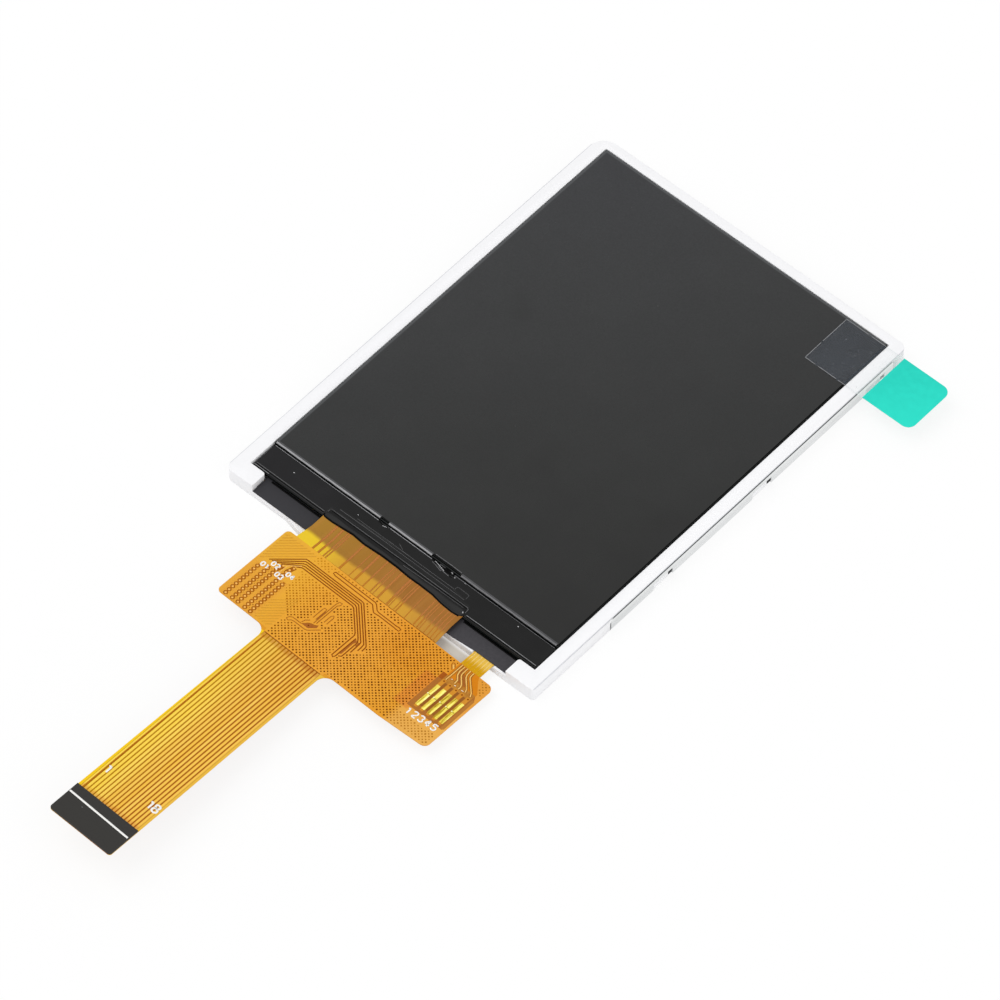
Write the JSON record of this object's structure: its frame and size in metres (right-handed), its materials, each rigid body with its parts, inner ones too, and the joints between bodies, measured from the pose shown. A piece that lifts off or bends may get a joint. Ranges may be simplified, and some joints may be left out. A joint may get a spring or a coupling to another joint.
{
  "type": "tft display module",
  "caption": "Flat colour TFT display module: dark panel in a white moulded frame with a steel back shell, a flexible circuit tail with a stiffened end, and a film with a green pull tab.",
  "frame": {"origin": "centre of the module's rear face, where the steel back shell lies on what it is mounted on", "axes": "+X across the panel, +Y along the panel away from the flexible circuit, +Z out of the screen"},
  "size_m": [0.0586, 0.1214, 0.0057],
  "materials": {
    "bright_steel": "bright rolled stainless sheet",
    "white_mould": "satin white moulded polycarbonate",
    "white_sheet": "white optical sheet",
    "clear_guide": "clear acrylic light guide",
    "lamp_body": "white side-view lamp with yellow phosphor",
    "black_tape": "matt black double-sided tape",
    "dark_polariser": "dark polarising film",
    "panel_glass": "thin display glass, dark with the polarisers",
    "seal_line": "grey sealing line",
    "clear_film": "thin clear protective film over the dark panel",
    "chip_black": "bare silicon chip",
    "gloss_black": "glossy black sealant",
    "amber_film": "amber polyimide film",
    "orange_coverlay": "orange polyimide coverlay over copper",
    "gold_trace": "copper lines under amber coverlay",
    "gold_plate": "gold-plated copper",
    "black_stiffener": "black polyimide stiffener",
    "green_tab": "translucent sea-green polyester tab"
  },
  "bodies": {
    "root": {"back_shell": "bright_steel", "mould_frame": "white_mould", "reflector_sheet": "white_sheet", "light_guide": "clear_guide", "diffuser_sheet": "white_sheet", "lower_prism_sheet": "white_sheet", "upper_prism_sheet": "white_sheet", "backlight_leds": "lamp_body", "rim_tape": "black_tape", "rear_polariser": "dark_polariser", "array_glass": "panel_glass", "cell_seal": "seal_line", "colour_filter_glass": "panel_glass", "front_polariser": "dark_polariser", "protective_film": "clear_film", "driver_chip": "chip_black", "ledge_cover": "gloss_black", "bond_seal": "gloss_black", "main_flex": "amber_film", "flex_cover": "orange_coverlay", "tail_traces": "gold_trace", "contact_fingers": "gold_plate", "led_lands": "gold_plate", "tail_stiffener": "black_stiffener", "pull_tab_strip": "clear_film", "pull_tab_grip": "green_tab"}
  },
  "joints": []
}
